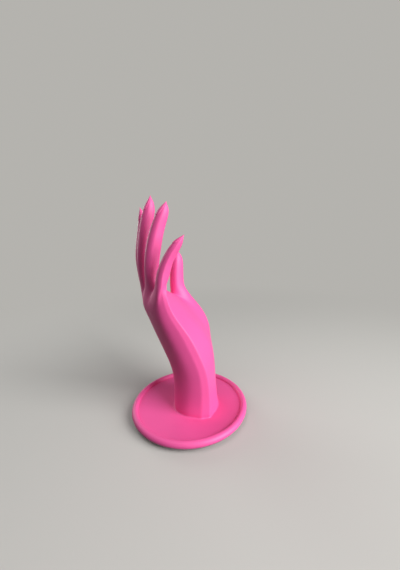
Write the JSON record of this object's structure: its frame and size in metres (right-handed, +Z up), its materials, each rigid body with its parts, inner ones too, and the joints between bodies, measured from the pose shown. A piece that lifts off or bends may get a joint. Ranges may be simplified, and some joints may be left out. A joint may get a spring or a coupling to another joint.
{
  "type": "hand jewelry display",
  "caption": "Upright hand that stands on its wrist in a round tray with a rolled rim, to hold rings on the fingers, bracelets over the palm and small items in the tray.",
  "frame": {"origin": "on the surface it stands on, under the centre of the round tray", "axes": "+Z up along the hand, +X the way the palm faces, +Y towards the thumb, -Y towards the little finger"},
  "size_m": [0.11, 0.11, 0.202],
  "materials": {
    "pink_satin": "satin moulded plastic",
    "brass": "knurled, plain",
    "steel": "plain",
    "rubber": "matt"
  },
  "bodies": {
    "root": {"hand": "pink_satin", "dish": "pink_satin", "insert_little_side": "brass", "insert_thumb_side": "brass", "screw_little_side": "steel", "screw_thumb_side": "steel", "foot_1": "rubber", "foot_2": "rubber", "foot_3": "rubber", "foot_4": "rubber"}
  },
  "joints": []
}
